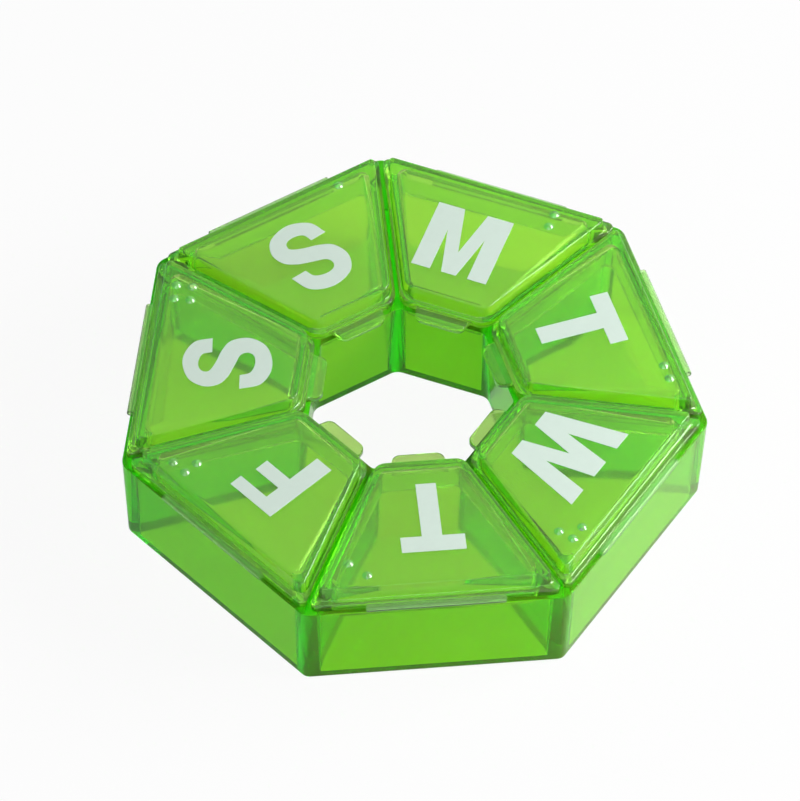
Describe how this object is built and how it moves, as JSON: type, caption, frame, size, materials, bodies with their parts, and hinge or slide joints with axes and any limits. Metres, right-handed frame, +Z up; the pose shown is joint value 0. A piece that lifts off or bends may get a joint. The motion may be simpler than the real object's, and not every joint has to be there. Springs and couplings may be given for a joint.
{
  "type": "pill organizer",
  "caption": "Ring-shaped weekly pill organizer round an open centre; each day's pocket has a raised lid on a living hinge, lifted by a thumb tab.",
  "frame": {"origin": "on the ring's axis, at the level of the flat base", "axes": "+Z up along the ring's axis, -Y towards the side with Thursday's lid, +X to the right as seen from there"},
  "size_m": [0.1008, 0.0991, 0.0235],
  "materials": {
    "tray_plastic": "translucent green polypropylene, smooth",
    "lid_plastic": "translucent green polypropylene, smooth, a little milky",
    "hinge_plastic": "thin translucent green polypropylene",
    "letter_print": "pale printed ink"
  },
  "bodies": {
    "tray": {"tray": "tray_plastic", "hinge_sunday": "hinge_plastic", "hinge_saturday": "hinge_plastic", "hinge_friday": "hinge_plastic", "hinge_thursday": "hinge_plastic", "hinge_wednesday": "hinge_plastic", "hinge_tuesday": "hinge_plastic", "hinge_monday": "hinge_plastic"},
    "lid_sunday": {"lid_sunday": "lid_plastic"},
    "lid_saturday": {"lid_saturday": "lid_plastic"},
    "lid_friday": {"lid_friday": "lid_plastic"},
    "lid_thursday": {"lid_thursday": "lid_plastic"},
    "lid_wednesday": {"lid_wednesday": "lid_plastic"},
    "lid_tuesday": {"lid_tuesday": "lid_plastic"},
    "lid_monday": {"lid_monday": "lid_plastic"}
  },
  "joints": [
    {"name": "sunday_lid_hinge", "type": "hinge", "parent": "tray", "child": "lid_sunday", "pos_m": [-0.02059, 0.04275, 0.0199], "axis": [-0.901, -0.4339, 0], "range_deg": [0, 175], "deforming": ["hinge_sunday"]},
    {"name": "saturday_lid_hinge", "type": "hinge", "parent": "tray", "child": "lid_saturday", "pos_m": [-0.04626, 0.01056, 0.0199], "axis": [-0.2225, -0.9749, 0], "range_deg": [0, 175], "deforming": ["hinge_saturday"]},
    {"name": "friday_lid_hinge", "type": "hinge", "parent": "tray", "child": "lid_friday", "pos_m": [-0.0371, -0.02959, 0.0199], "axis": [0.6235, -0.7818, 0], "range_deg": [0, 175], "deforming": ["hinge_friday"]},
    {"name": "thursday_lid_hinge", "type": "hinge", "parent": "tray", "child": "lid_thursday", "pos_m": [0, -0.04745, 0.0199], "axis": [1, 0, 0], "range_deg": [0, 175], "deforming": ["hinge_thursday"]},
    {"name": "wednesday_lid_hinge", "type": "hinge", "parent": "tray", "child": "lid_wednesday", "pos_m": [0.0371, -0.02959, 0.0199], "axis": [0.6235, 0.7818, 0], "range_deg": [0, 175], "deforming": ["hinge_wednesday"]},
    {"name": "tuesday_lid_hinge", "type": "hinge", "parent": "tray", "child": "lid_tuesday", "pos_m": [0.04626, 0.01056, 0.0199], "axis": [-0.2225, 0.9749, 0], "range_deg": [0, 175], "deforming": ["hinge_tuesday"]},
    {"name": "monday_lid_hinge", "type": "hinge", "parent": "tray", "child": "lid_monday", "pos_m": [0.02059, 0.04275, 0.0199], "axis": [-0.901, 0.4339, 0], "range_deg": [0, 175], "deforming": ["hinge_monday"]}
  ]
}
